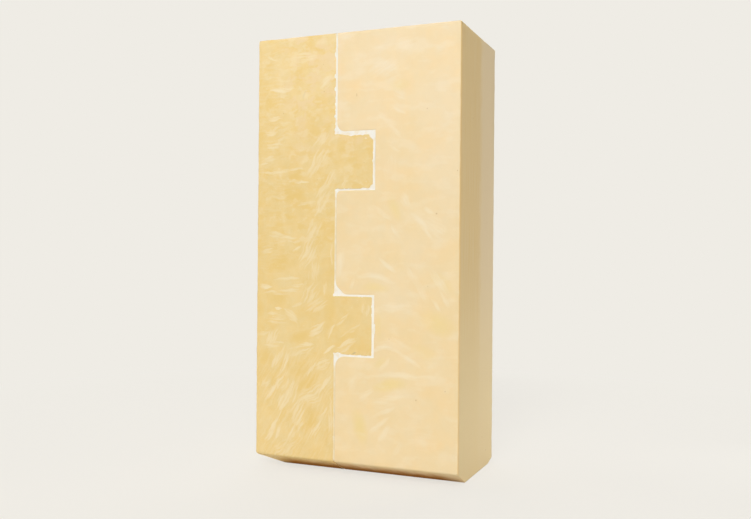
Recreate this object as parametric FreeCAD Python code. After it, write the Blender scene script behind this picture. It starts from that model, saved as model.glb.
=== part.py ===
import FreeCAD, Part
import math
import os

from FreeCAD import Vector

# A refractory firebrick of the standard 230 x 114 x 65 mm straight format, standing on its end.
# It is made of two blocks of different firebrick and the mortar between them. The left block has
# two square tongues, and the right block has two sockets that take them, so the halves lock.
# The joint runs straight through the brick from front to back.
# All sizes are millimetres. X is the width, Y the depth with the front at -Y, and Z the height.
# The origin is the centre of the footprint, on the surface that the brick stands on.

# Overall size
WIDTH = 114.0
DEPTH = 65.0
HEIGHT = 230.0

# Arrises: the small radius on the outer edges, and the larger bevels round the standing end
ARRIS_RADIUS = 0.8
FRONT_BEVEL_DEPTH = 13.5
FRONT_BEVEL_RISE = 7.0
LEFT_BEVEL_WIDTH = 11.0
LEFT_BEVEL_RISE = 7.0
BACK_BEVEL_DEPTH = 8.5
BACK_BEVEL_RISE = 2.0

# Right block: its width from the right face to the joint, and the depth of its sockets
SOCKET_BLOCK_WIDTH = 66.8
SOCKET_DEPTH = 21.5

# Heights along the joint, from the top end downwards
TOP_LAND = 51.6
UPPER_SOCKET_HEIGHT = 30.6
MIDDLE_LAND = 53.8
LOWER_SOCKET_HEIGHT = 32.0

# Socket mouths, as pressed in the mould: three are round, and the one above the lower socket is
# a chamfer with softened ends
UPPER_MOUTH_RADIUS_ABOVE = 4.5
UPPER_MOUTH_RADIUS_BELOW = 2.4
LOWER_MOUTH_CHAMFER_DEPTH = 4.7
LOWER_MOUTH_CHAMFER_RISE = 5.0
LOWER_MOUTH_CHAMFER_EASE = 1.2
LOWER_MOUTH_RADIUS_BELOW = 5.0

# Mortar bed thickness at the shoulders, at the tongue tips, and above and below each tongue.
# Below the lower tongue the bed narrows from the root to the tip.
SHOULDER_BED = 0.9
TIP_BED = 1.1
UPPER_BED_ABOVE = 2.1
UPPER_BED_BELOW = 0.8
LOWER_BED_ABOVE = 0.9
LOWER_BED_BELOW_ROOT = 1.6
LOWER_BED_BELOW_TIP = 0.9

# Rise of the upper tongue's top towards its root, where the saw ran out, and its length
UPPER_ROOT_RISE = 1.2
UPPER_ROOT_LENGTH = 7.5

# Worn corners at the tips of the sawn tongues
UPPER_TIP_RADIUS = 2.0
LOWER_TIP_RADIUS = 0.6

# How far a cutting outline runs past the faces that it trims
OVERRUN = 5.0

LEFT = -WIDTH / 2
RIGHT = WIDTH / 2
FRONT = -DEPTH / 2
BACK = DEPTH / 2
JOINT_X = RIGHT - SOCKET_BLOCK_WIDTH
SHOULDER_X = JOINT_X - SHOULDER_BED
SOCKET_BACK_X = JOINT_X + SOCKET_DEPTH
TIP_X = SOCKET_BACK_X - TIP_BED

UPPER_SOCKET_TOP = HEIGHT - TOP_LAND
UPPER_SOCKET_BOTTOM = UPPER_SOCKET_TOP - UPPER_SOCKET_HEIGHT
LOWER_SOCKET_TOP = UPPER_SOCKET_BOTTOM - MIDDLE_LAND
LOWER_SOCKET_BOTTOM = LOWER_SOCKET_TOP - LOWER_SOCKET_HEIGHT


def rounded_wire(corners):
    """Closed wire in the XZ plane. Each corner is (x, z, radius), and a radius of 0 stays sharp."""
    starts = []
    ends = []
    arcs = []
    for i, (x, z, radius) in enumerate(corners):
        corner = Vector(x, 0, z)
        before = Vector(corners[i - 1][0], 0, corners[i - 1][1])
        after = Vector(corners[(i + 1) % len(corners)][0], 0, corners[(i + 1) % len(corners)][1])
        to_before = (before - corner).normalize()
        to_after = (after - corner).normalize()
        if radius == 0:
            starts.append(corner)
            ends.append(corner)
            arcs.append(None)
            continue
        half_angle = to_before.getAngle(to_after) / 2
        setback = radius / math.tan(half_angle)
        start = corner + to_before * setback
        end = corner + to_after * setback
        inward = (to_before + to_after).normalize()
        middle = corner + inward * (radius / math.sin(half_angle) - radius)
        starts.append(start)
        ends.append(end)
        arcs.append(Part.Arc(start, middle, end).toShape())
    edges = []
    for i in range(len(corners)):
        edges.append(Part.LineSegment(ends[i - 1], starts[i]).toShape())
        if arcs[i] is not None:
            edges.append(arcs[i])
    return Part.Wire(edges)


def through_depth(corners):
    """Prism of an XZ outline that runs through the whole depth of the brick and past both faces."""
    face = Part.Face(rounded_wire(corners))
    face.translate(Vector(0, FRONT - OVERRUN, 0))
    return face.extrude(Vector(0, DEPTH + 2 * OVERRUN, 0))


def across_width(points):
    """Prism of a YZ outline, given as (y, z) points, that runs past the left and right faces."""
    corners = [Vector(LEFT - OVERRUN, y, z) for y, z in points]
    face = Part.Face(Part.makePolygon(corners + corners[:1]))
    return face.extrude(Vector(WIDTH + 2 * OVERRUN, 0, 0))


def bevel_triangle(face, inward, run, rise):
    """Triangle that bevels the standing end at one face, drawn past the face and the end.

    Its sloping side passes through the points run inside the face at the end, and rise up the face.
    """
    slope = rise / run
    inner = face + inward * (run + OVERRUN / slope)
    outer = face - inward * OVERRUN
    return [(outer, -OVERRUN), (inner, -OVERRUN), (outer, rise + OVERRUN * slope)]


def brick_envelope():
    """The whole brick as one solid: a box with soft arrises and the bevels of its standing end."""
    box = Part.makeBox(WIDTH, DEPTH, HEIGHT, Vector(LEFT, FRONT, 0))
    box = box.makeFillet(ARRIS_RADIUS, box.Edges)
    front = across_width(bevel_triangle(FRONT, 1, FRONT_BEVEL_DEPTH, FRONT_BEVEL_RISE))
    back = across_width(bevel_triangle(BACK, -1, BACK_BEVEL_DEPTH, BACK_BEVEL_RISE))
    side = bevel_triangle(LEFT, 1, LEFT_BEVEL_WIDTH, LEFT_BEVEL_RISE)
    left = through_depth([(x, z, 0) for x, z in side])
    return box.cut([front, back, left])


def socket_block(envelope):
    """Right block: everything right of the joint, with two sockets that open to the left."""
    top = HEIGHT + OVERRUN
    bottom = -OVERRUN
    outline = [
        (RIGHT + OVERRUN, top, 0),
        (JOINT_X, top, 0),
        (JOINT_X, UPPER_SOCKET_TOP, UPPER_MOUTH_RADIUS_ABOVE),
        (SOCKET_BACK_X, UPPER_SOCKET_TOP, 0),
        (SOCKET_BACK_X, UPPER_SOCKET_BOTTOM, 0),
        (JOINT_X, UPPER_SOCKET_BOTTOM, UPPER_MOUTH_RADIUS_BELOW),
        (JOINT_X, LOWER_SOCKET_TOP + LOWER_MOUTH_CHAMFER_RISE, LOWER_MOUTH_CHAMFER_EASE),
        (JOINT_X + LOWER_MOUTH_CHAMFER_DEPTH, LOWER_SOCKET_TOP, LOWER_MOUTH_CHAMFER_EASE),
        (SOCKET_BACK_X, LOWER_SOCKET_TOP, 0),
        (SOCKET_BACK_X, LOWER_SOCKET_BOTTOM, 0),
        (JOINT_X, LOWER_SOCKET_BOTTOM, LOWER_MOUTH_RADIUS_BELOW),
        (JOINT_X, bottom, 0),
        (RIGHT + OVERRUN, bottom, 0),
    ]
    return envelope.common(through_depth(outline))


def tongue_block(envelope):
    """Left block: everything left of the joint, with two tongues that reach into the sockets."""
    top = HEIGHT + OVERRUN
    bottom = -OVERRUN
    upper_top = UPPER_SOCKET_TOP - UPPER_BED_ABOVE
    upper_bottom = UPPER_SOCKET_BOTTOM + UPPER_BED_BELOW
    lower_top = LOWER_SOCKET_TOP - LOWER_BED_ABOVE
    outline = [
        (LEFT - OVERRUN, top, 0),
        (SHOULDER_X, top, 0),
        (SHOULDER_X, upper_top + UPPER_ROOT_RISE, 0),
        (SHOULDER_X + UPPER_ROOT_LENGTH, upper_top, 0),
        (TIP_X, upper_top, UPPER_TIP_RADIUS),
        (TIP_X, upper_bottom, UPPER_TIP_RADIUS),
        (SHOULDER_X, upper_bottom, 0),
        (SHOULDER_X, lower_top, 0),
        (TIP_X, lower_top, LOWER_TIP_RADIUS),
        (TIP_X, LOWER_SOCKET_BOTTOM + LOWER_BED_BELOW_TIP, LOWER_TIP_RADIUS),
        (SHOULDER_X, LOWER_SOCKET_BOTTOM + LOWER_BED_BELOW_ROOT, 0),
        (SHOULDER_X, bottom, 0),
        (LEFT - OVERRUN, bottom, 0),
    ]
    return envelope.common(through_depth(outline))


def main():
    """Builds the three pieces and writes one STEP file for each."""
    envelope = brick_envelope()
    tongues = tongue_block(envelope)
    sockets = socket_block(envelope)
    mortar = envelope.cut([tongues, sockets])
    pieces = {"tongue_block": tongues, "socket_block": sockets, "mortar_joint": mortar}
    os.makedirs("parts", exist_ok=True)
    for name, shape in pieces.items():
        solid = shape.Solids[0]
        print(name, "solids", len(shape.Solids), "valid", solid.isValid(), "volume", round(solid.Volume))
        solid.exportStep(f"parts/{name}.step")


main()
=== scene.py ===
"""A refractory firebrick: two keyed blocks and their mortar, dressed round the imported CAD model.

All sizes are in millimetres in the row frame: X is the width, Y the depth with the front at -Y, and Z the
height. They become metres where they go to Blender.
"""

import logging
import math
import random
from abc import ABC, abstractmethod
from contextlib import contextmanager
from dataclasses import dataclass, field
from enum import Enum
from functools import reduce
from typing import Callable, Iterable, Iterator, Sequence

import bmesh
import bpy
from mathutils import Matrix, Vector

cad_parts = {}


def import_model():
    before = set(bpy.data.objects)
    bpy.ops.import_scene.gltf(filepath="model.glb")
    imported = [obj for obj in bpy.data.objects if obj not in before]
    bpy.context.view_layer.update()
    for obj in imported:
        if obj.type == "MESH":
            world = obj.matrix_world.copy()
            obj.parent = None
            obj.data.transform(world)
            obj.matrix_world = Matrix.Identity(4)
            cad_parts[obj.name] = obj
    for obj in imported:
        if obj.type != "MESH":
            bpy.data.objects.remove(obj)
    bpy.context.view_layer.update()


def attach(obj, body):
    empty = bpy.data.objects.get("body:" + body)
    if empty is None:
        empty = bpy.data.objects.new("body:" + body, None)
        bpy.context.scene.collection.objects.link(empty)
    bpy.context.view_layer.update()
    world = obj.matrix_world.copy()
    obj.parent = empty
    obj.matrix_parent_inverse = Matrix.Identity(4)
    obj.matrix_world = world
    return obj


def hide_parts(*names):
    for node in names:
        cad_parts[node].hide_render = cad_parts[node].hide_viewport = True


log = logging.getLogger("firebrick")

MM = 0.001

Object = bpy.types.Object
Material = bpy.types.Material
Texture = bpy.types.Texture
Socket = bpy.types.NodeSocket
MeshEdge = bmesh.types.BMEdge
MeshFace = bmesh.types.BMFace


# Sizes of the brick and its joint


@dataclass(frozen=True)
class BrickSizes:
    """Outer sizes of the brick, as in the CAD model. A bevel is its run into the end and its rise."""

    width: float = 114.0
    depth: float = 65.0
    height: float = 230.0
    arris: float = 0.8
    front_bevel: tuple[float, float] = (13.5, 7.0)
    left_bevel: tuple[float, float] = (11.0, 7.0)
    back_bevel: tuple[float, float] = (8.5, 2.0)

    @property
    def left(self) -> float:
        """X of the left face."""
        return -self.width / 2

    @property
    def right(self) -> float:
        """X of the right face."""
        return self.width / 2

    @property
    def front(self) -> float:
        """Y of the front face."""
        return -self.depth / 2

    @property
    def back(self) -> float:
        """Y of the back face."""
        return self.depth / 2


@dataclass(frozen=True)
class JointSizes:
    """Places of the keyed joint, as in the CAD model. A span is its lower and upper height."""

    mouth_x: float = -9.8
    shoulder_x: float = -10.7
    socket_back_x: float = 11.7
    tip_x: float = 10.6
    upper_socket: tuple[float, float] = (147.8, 178.4)
    lower_socket: tuple[float, float] = (62.0, 94.0)
    upper_tongue: tuple[float, float] = (148.6, 176.3)
    lower_tongue: tuple[float, float] = (62.9, 93.1)
    upper_root_rise: float = 1.2
    upper_root_length: float = 7.5
    lower_root_lift: float = 0.7
    upper_tip_radius: float = 2.0
    lower_tip_radius: float = 0.6
    round_mouths: tuple[tuple[float, float], ...] = ((178.4, 4.5), (147.8, 2.4), (62.0, 5.0))
    chamfered_mouth: tuple[float, float] = (94.0, 4.85)
    chamfer_ease: float = 1.2


BRICK = BrickSizes()
JOINT = JointSizes()

LEFTWARDS = Vector((-1, 0, 0))
RIGHTWARDS = Vector((1, 0, 0))
FORWARDS = Vector((0, -1, 0))
BACKWARDS = Vector((0, 1, 0))
UPWARDS = Vector((0, 0, 1))


# Modelling tools

FaceTest = Callable[[Vector, Vector], bool]
EdgeTest = Callable[[Vector, Vector], bool]
PlaceTest = Callable[[Vector], bool]


class Axis(Enum):
    """An axis of the row frame, with its number in a vector."""

    X = 0
    Y = 1
    Z = 2


class Element(Enum):
    """What edit mode selects, with the name of its list in a mesh."""

    VERT = "verts"
    EDGE = "edges"
    FACE = "faces"


def deselect_all() -> None:
    """Leaves nothing selected in the scene."""
    bpy.ops.object.select_all(action="DESELECT")


def activate(obj: Object) -> None:
    """Makes an object the only selected one and the active one.

    Args:
        obj: The object.
    """
    deselect_all()
    obj.select_set(True)
    bpy.context.view_layer.objects.active = obj


def join_up(parts: Sequence[Object]) -> Object:
    """Joins objects into the first of them, and puts its place into its mesh.

    Args:
        parts: The objects.

    Returns:
        The one that is left.
    """
    activate(parts[0])
    for part in parts:
        part.select_set(True)
    bpy.ops.object.join()
    bpy.ops.object.transform_apply(location=True, rotation=True, scale=True)
    return bpy.context.active_object


def apply_modifier(obj: Object, kind: str, **settings: object) -> None:
    """Shapes an object for good by a modifier.

    Args:
        obj: The object.
        kind: The modifier's type.
        settings: Its settings.
    """
    activate(obj)
    modifier = obj.modifiers.new(kind.title(), kind)
    for name, value in settings.items():
        setattr(modifier, name, value)
    bpy.ops.object.modifier_apply(modifier=modifier.name)


def roughen(obj: Object, texture: Texture, depth: float, middle: float, group: str = "") -> None:
    """Moves a surface along its normals by a texture.

    Args:
        obj: The object.
        texture: What the depth varies by.
        depth: The distance between the texture's black and white.
        middle: The texture's value that stays in place, so that 1 only ever moves the surface inwards.
        group: The vertex group that limits it, if any.
    """
    settings = {"texture": texture, "strength": depth * MM, "mid_level": middle, "vertex_group": group}
    apply_modifier(obj, "DISPLACE", texture_coords="LOCAL", **settings)


def cloud_texture(name: str, size: float, contrast: float = 1.0) -> Texture:
    """A soft cloudy texture for wear.

    Args:
        name: Its name.
        size: The size of a cloud.
        contrast: More than 1 makes fewer, deeper hollows.

    Returns:
        The texture.
    """
    texture = bpy.data.textures.new(name, "CLOUDS")
    texture.noise_scale = size * MM
    texture.noise_depth = 2
    texture.contrast = contrast
    return texture


def evenly(stations: Sequence[float], step: float) -> list[float]:
    """Places for cuts between stations.

    Args:
        stations: Rising places that already have an edge, or that need none.
        step: The largest distance between two cuts.

    Returns:
        The places inside each gap, evenly spaced, without the stations themselves.
    """
    places: list[float] = []
    for low, high in zip(stations, stations[1:]):
        count = max(1, math.ceil((high - low) / step - 1e-6))
        places += [low + (high - low) * i / count for i in range(1, count)]
    return places


class Workpiece:
    """A solid under the modeller's tools. It starts as a cuboid and is shaped in edit mode.

    The class values are lengths in metres: how near to a plane a corner counts as on it, how close
    doubled corners stand, and how thin a face is that counts as a sliver.
    """

    cut_tolerance = 1e-7
    merge_reach = 2e-6
    sliver = 1e-5

    def __init__(self, name: str, low: Vector, high: Vector, material: Material) -> None:
        """Adds the cuboid.

        Args:
            name: The name of the object and its mesh.
            low: The lowest corner.
            high: The highest corner.
            material: Its finish.
        """
        deselect_all()
        bpy.ops.mesh.primitive_cube_add(size=1.0, location=(low + high) / 2 * MM, scale=(high - low) * MM)
        bpy.ops.object.transform_apply(location=True, rotation=True, scale=True)
        self.obj = bpy.context.active_object
        self.obj.name = name
        self.obj.data.name = name
        self.obj.data.materials.append(material)

    @contextmanager
    def editing(self, element: Element = Element.FACE) -> Iterator[None]:
        """Edit mode with nothing selected, left again at the end.

        Args:
            element: What it selects.
        """
        activate(self.obj)
        bpy.ops.object.mode_set(mode="EDIT")
        bpy.ops.mesh.select_mode(type=element.name)
        bpy.ops.mesh.select_all(action="DESELECT")
        yield
        bpy.ops.object.mode_set(mode="OBJECT")

    def select(self, element: Element, test: Callable[..., bool]) -> None:
        """Selects what passes a test, and nothing else.

        Args:
            element: What is tested.
            test: Takes one vertex, edge or face of the mesh.
        """
        bpy.ops.mesh.select_all(action="DESELECT")
        mesh = bmesh.from_edit_mesh(self.obj.data)
        for item in getattr(mesh, element.value):
            if test(item):
                item.select_set(True)
        bmesh.update_edit_mesh(self.obj.data)

    def select_edges(self, test: EdgeTest) -> None:
        """Selects the edges whose two ends pass the test."""
        self.select(Element.EDGE, lambda edge: test(edge.verts[0].co / MM, edge.verts[1].co / MM))

    def cut(self, axis: Axis, places: Sequence[float]) -> None:
        """Cuts new edges into the whole surface.

        Args:
            axis: The axis that the cuts stand across.
            places: Where they stand on it.
        """
        with self.editing():
            for place in places:
                point = [0.0, 0.0, 0.0]
                normal = [0.0, 0.0, 0.0]
                point[axis.value] = place * MM
                normal[axis.value] = 1.0
                bpy.ops.mesh.select_all(action="SELECT")
                bpy.ops.mesh.bisect(plane_co=point, plane_no=normal, threshold=self.cut_tolerance)

    def trim(self, point: Vector, normal: Vector) -> None:
        """Cuts away what lies on one side of a plane, and closes the cut.

        Args:
            point: A point of the plane.
            normal: The direction towards the side that goes.
        """
        with self.editing():
            bpy.ops.mesh.select_all(action="SELECT")
            bpy.ops.mesh.bisect(
                plane_co=point * MM,
                plane_no=normal,
                use_fill=True,
                clear_outer=True,
                threshold=self.cut_tolerance,
            )

    def trim_foot(self, outwards: Vector, reach: float, bevel: tuple[float, float], lift: float = 0) -> None:
        """Bevels the standing end at one of the upright faces.

        Args:
            outwards: The way out of the face.
            reach: The distance of the face from the brick's middle.
            bevel: The run and the rise of the bevel.
            lift: How far above its place in the CAD model it is cut.
        """
        run, rise = bevel
        point = outwards * reach + UPWARDS * (rise + lift)
        self.trim(point, (outwards * rise - UPWARDS * run).normalized())

    def pull(self, test: FaceTest, move: Vector) -> None:
        """Extrudes faces.

        Args:
            test: Takes a face's centre and its normal.
            move: Where the faces go.
        """
        with self.editing():
            self.select(Element.FACE, lambda face: test(face.calc_center_median() / MM, face.normal))
            bpy.ops.mesh.extrude_region_move(TRANSFORM_OT_translate={"value": move * MM})

    def slide(self, test: PlaceTest, move: Vector) -> None:
        """Moves edges.

        Args:
            test: Takes an end of an edge. Both have to pass.
            move: Where the edges go.
        """
        with self.editing(Element.EDGE):
            self.select_edges(lambda a, b: test(a) and test(b))
            bpy.ops.transform.translate(value=move * MM)

    def round_edges(self, test: EdgeTest, radius: float, segments: int) -> None:
        """Rounds edges in edit mode.

        Args:
            test: Takes the two ends of an edge.
            radius: The radius of the rounding.
            segments: Faces across it. One makes a chamfer.
        """
        with self.editing(Element.EDGE):
            self.select_edges(test)
            bpy.ops.mesh.bevel(
                offset_type="OFFSET",
                offset=radius * MM,
                segments=segments,
                affect="EDGES",
                clamp_overlap=False,
            )

    def soften(self, weigh: Callable[[MeshEdge], float], radius: float, segments: int) -> None:
        """Rounds the edges by a Bevel modifier.

        Args:
            weigh: Gives an edge's share of the radius, or 0 to leave it sharp.
            radius: The radius of an edge whose share is 1.
            segments: Faces across each rounding.
        """
        with self.editing(Element.EDGE):
            mesh = bmesh.from_edit_mesh(self.obj.data)
            shares = {edge.index: weigh(edge) for edge in mesh.edges}
            for share in sorted(set(shares.values()) - {0.0}):
                self.select(Element.EDGE, lambda edge: shares[edge.index] == share)
                bpy.ops.transform.edge_bevelweight(value=share)
        settings = {"limit_method": "WEIGHT", "width": radius * MM, "segments": segments}
        apply_modifier(self.obj, "BEVEL", use_clamp_overlap=False, **settings)

    def weigh(self, name: str, weight: Callable[[Vector], float]) -> None:
        """Makes a vertex group.

        Args:
            name: Its name.
            weight: Gives a vertex's weight from its place.
        """
        group = self.obj.vertex_groups.new(name=name)
        for vertex in self.obj.data.vertices:
            amount = weight(vertex.co / MM)
            if amount > 0:
                group.add([vertex.index], min(1.0, amount), "REPLACE")

    def carve(self, cutter: Object, keep_cutter: bool = False) -> None:
        """Cuts another solid out of this one.

        Args:
            cutter: The solid that is cut out.
            keep_cutter: False deletes it afterwards.
        """
        apply_modifier(self.obj, "BOOLEAN", operation="DIFFERENCE", solver="EXACT", object=cutter)
        if not keep_cutter:
            bpy.data.meshes.remove(cutter.data)

    def clean(self) -> None:
        """Merges doubles, drops slivers and needless corners, and points the normals outwards.

        Two faces that share the two edges of a corner would be exported as triangles folded over each
        other, so a corner that only two edges meet at goes.
        """
        with self.editing(Element.VERT):
            for _ in range(2):
                bpy.ops.mesh.select_all(action="SELECT")
                bpy.ops.mesh.remove_doubles(threshold=self.merge_reach)
                bpy.ops.mesh.dissolve_degenerate(threshold=self.sliver)
                bpy.ops.mesh.delete_loose(use_verts=True, use_edges=True, use_faces=False)
                self.select(Element.VERT, lambda vertex: len(vertex.link_edges) == 2)
                bpy.ops.mesh.dissolve_verts()
            bpy.ops.mesh.select_all(action="DESELECT")
            bpy.ops.mesh.select_non_manifold()
            bpy.ops.mesh.fill_holes(sides=0)
            bpy.ops.mesh.select_all(action="SELECT")
            bpy.ops.mesh.normals_make_consistent(inside=False)

    def shade(self, angle: float) -> None:
        """Smooth shading, but sharp where two faces meet at more than angle, in degrees."""
        activate(self.obj)
        bpy.ops.object.shade_smooth_by_angle(angle=math.radians(angle))

    def open_edges(self) -> int:
        """Counts the edges that don't join exactly two faces.

        Returns:
            Their number, which is 0 on a closed solid.
        """
        mesh = bmesh.new()
        mesh.from_mesh(self.obj.data)
        count = sum(1 for edge in mesh.edges if len(edge.link_faces) != 2)
        mesh.free()
        return count


# Damage


@dataclass(frozen=True)
class EdgeRun:
    """A stretch of edge that has crumbled.

    Args:
        start: Where it starts.
        end: Where it ends.
        out: The way out of the block across the edge, along the face that shows.
        face: The way out of that face.
        bite: How wide a strip of the face is gone at the start.
        end_bite: The same at the end, or None for the same as at the start.
    """

    start: Vector
    end: Vector
    out: Vector
    face: Vector
    bite: float
    end_bite: float | None = None


@dataclass(frozen=True)
class Hollow:
    """A chip or a pore, with its place and its half sizes."""

    place: tuple[float, float, float]
    reach: tuple[float, float, float]

    def lump(self, subdivisions: int) -> Object:
        """Adds a ball that fills the hollow.

        Args:
            subdivisions: How finely its surface is divided.

        Returns:
            Its object.
        """
        deselect_all()
        bpy.ops.mesh.primitive_ico_sphere_add(
            subdivisions=subdivisions, radius=MM, location=Vector(self.place) * MM, scale=self.reach
        )
        return bpy.context.active_object


@dataclass(frozen=True)
class Crumbling:
    """What has broken off along the edges of a block, as one rough solid that is cut out of it.

    Args:
        runs: The crumbled edges.
        chips: The larger pieces that are gone.
        rod_radius: Radius of the rod that lies over each crumbled edge.
        rod_overlap: How much longer the rod is than its edge.
        lift: How far its axis stands off the face.
        voxel: How finely the solid is made.
        roughness: Sizes and depths of its unevenness.
    """

    runs: Sequence[EdgeRun]
    chips: Sequence[Hollow]
    rod_radius: float = 1.0
    rod_overlap: float = 0.8
    lift: float = 0.6
    voxel: float = 0.3
    roughness: tuple[tuple[float, float], ...] = ((2.6, 0.95), (1.0, 0.4))

    def build(self) -> Object:
        """Makes the solid.

        Returns:
            Its object.
        """
        rods = [self.rod(run) for run in self.runs]
        solid = join_up(rods + [chip.lump(3) for chip in self.chips])
        self.remesh(solid)
        for size, depth in self.roughness:
            roughen(solid, cloud_texture("Crumbs", size, 1.5), depth, 0.5)
        self.remesh(solid)
        return solid

    def remesh(self, solid: Object) -> None:
        """Makes overlapping lumps one closed skin."""
        voxel = self.voxel * 1 * MM
        apply_modifier(solid, "REMESH", mode="VOXEL", voxel_size=voxel)

    def rod(self, run: EdgeRun) -> Object:
        """Lays a rod over an edge, so far out that it takes the bite from the face.

        Args:
            run: The crumbled edge.

        Returns:
            The rod.
        """
        chord = math.sqrt(self.rod_radius**2 - self.lift**2)
        end_bite = run.bite if run.end_bite is None else run.end_bite
        start = run.start + run.out * (chord - run.bite) + run.face * self.lift
        end = run.end + run.out * (chord - end_bite) + run.face * self.lift
        along = end - start
        deselect_all()
        bpy.ops.mesh.primitive_cylinder_add(
            vertices=12,
            radius=self.rod_radius * MM,
            depth=(along.length + self.rod_overlap) * MM,
            location=(start + end) / 2 * MM,
            rotation=along.to_track_quat("Z", "Y").to_euler(),
        )
        return bpy.context.active_object


def joint_runs(outline: Sequence[tuple[float, float, float]], side: float) -> list[EdgeRun]:
    """Crumbled edges along the joint, on the front and on the back.

    Args:
        outline: Corners as (x, z, bite of the stretch that follows), from the top end down. A stretch
            with no bite is whole.
        side: 1 for the block left of the joint, and -1 for the one right of it.

    Returns:
        The runs.
    """
    runs: list[EdgeRun] = []
    for face, y in ((FORWARDS, BRICK.front), (BACKWARDS, BRICK.back)):
        for (x0, z0, bite), (x1, z1, _) in zip(outline, outline[1:]):
            if bite == 0:
                continue
            along = Vector((x1 - x0, 0, z1 - z0)).normalized()
            out = Vector((-along.z, 0, along.x)) * side
            runs.append(EdgeRun(Vector((x0, y, z0)), Vector((x1, y, z1)), out, face, bite))
    return runs


def front_pores(*rows: tuple[float, float, float, float]) -> list[Hollow]:
    """Pores on the front, given as (x, z, half width, half height)."""
    return [Hollow((x, BRICK.front, z), (width, 0.2, height)) for x, z, width, height in rows]


def scattered_pores(low: Vector, high: Vector, seed: int) -> list[Hollow]:
    """More pores, on the back, on the outer narrow face and on the top end.

    Args:
        low: The lowest corner of the block.
        high: The highest corner.
        seed: Start of the random numbers.

    Returns:
        The pores.
    """
    margin = 5
    chance = random.Random(seed)
    outer_side = low.x if low.x < -BRICK.width / 4 else high.x
    pores = []
    for axis, level, count in ((Axis.Y, BRICK.back, 8), (Axis.X, outer_side, 5), (Axis.Z, BRICK.height, 3)):
        for _ in range(count):
            spot = [chance.uniform(a + margin, b - margin) for a, b in zip(low, high)]
            spot[axis.value] = level
            size = chance.uniform(0.18, 0.36)
            pores.append(Hollow(tuple(spot), (size, size, size * chance.uniform(0.8, 1.4))))
    return pores


def pore_cutter(pores: Sequence[Hollow], seed: int) -> Object:
    """All the pores as one solid to cut out, each an uneven lump.

    Args:
        pores: The pores.
        seed: Start of the random numbers.

    Returns:
        The solid.
    """
    chance = random.Random(seed)
    parts = [pore.lump(2) for pore in pores]
    for part in parts:
        for vertex in part.data.vertices:
            vertex.co *= chance.uniform(0.8, 1.15)
    return join_up(parts)


# Pieces of the brick


def is_outer_face(face: MeshFace) -> bool:
    """Tells a face of the brick's outside from one inside the joint.

    Args:
        face: The face.

    Returns:
        True for one on the outside.
    """
    near = 0.05
    level = 0.999
    centre = face.calc_center_median() / MM
    down = -face.normal.z
    on_box = (
        abs(abs(centre.x) - BRICK.width / 2) < near
        or abs(abs(centre.y) - BRICK.depth / 2) < near
        or centre.z < near
        or centre.z > BRICK.height - near
    )
    on_bevel = centre.z < BRICK.front_bevel[1] and 0.1 < down < level
    return on_box or on_bevel


def is_flat(edge: MeshEdge) -> bool:
    """True for an edge whose two faces are nearly level with each other."""
    return edge.calc_face_angle(0.0) < math.radians(12)


def arris_distance(place: Vector) -> float:
    """Distance from a place on the surface to the nearest outer edge of the brick's box."""
    gaps = (BRICK.width / 2 - abs(place.x), BRICK.depth / 2 - abs(place.y), BRICK.height - place.z)
    return sorted(gaps)[1]


@dataclass
class BrickPiece:
    """What the three pieces of the brick have in common.

    Args:
        node: The CAD node that the piece replaces.
        slot: Its material slot. It is not used.
        grid: Distance between the cuts of the surface grid.
        waviness: How far the faces of a made brick are off a plane.
        edge_wear: How deep the outer edges are worn.
        edge_width: How far from an outer edge the wear reaches.
    """

    node: str = ""
    slot: str = ""
    grid: float = 1.5
    waviness: float = 0.12
    edge_wear: float = 0.3
    edge_width: float = 1.6

    @property
    def step(self) -> float:
        """Distance between the cuts of the surface grid."""
        return self.grid * 1

    def hand_over(self, piece: Workpiece) -> None:
        """Gives a finished piece its place in the frame and reports it.

        Args:
            piece: The piece.
        """
        obj = piece.obj
        obj.vertex_groups.clear()
        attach(obj, "root")
        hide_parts(self.node)
        log.info("%s: %d faces, %d open edges", obj.name, len(obj.data.polygons), piece.open_edges())

    def weather(self, piece: Workpiece) -> None:
        """Gives the faces the slight waviness of a made brick, and wears the outer edges.

        Args:
            piece: The piece.
        """
        roughen(piece.obj, cloud_texture("Waves", 26.0), self.waviness, 1.0)
        roughen(piece.obj, cloud_texture("Ripples", 5.0), self.waviness * 0.35, 1.0)
        piece.weigh("arris", lambda place: 1.0 - arris_distance(place) / self.edge_width)
        roughen(piece.obj, cloud_texture("Nicks", 3.2, 1.8), self.edge_wear, 0.75, "arris")


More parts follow.
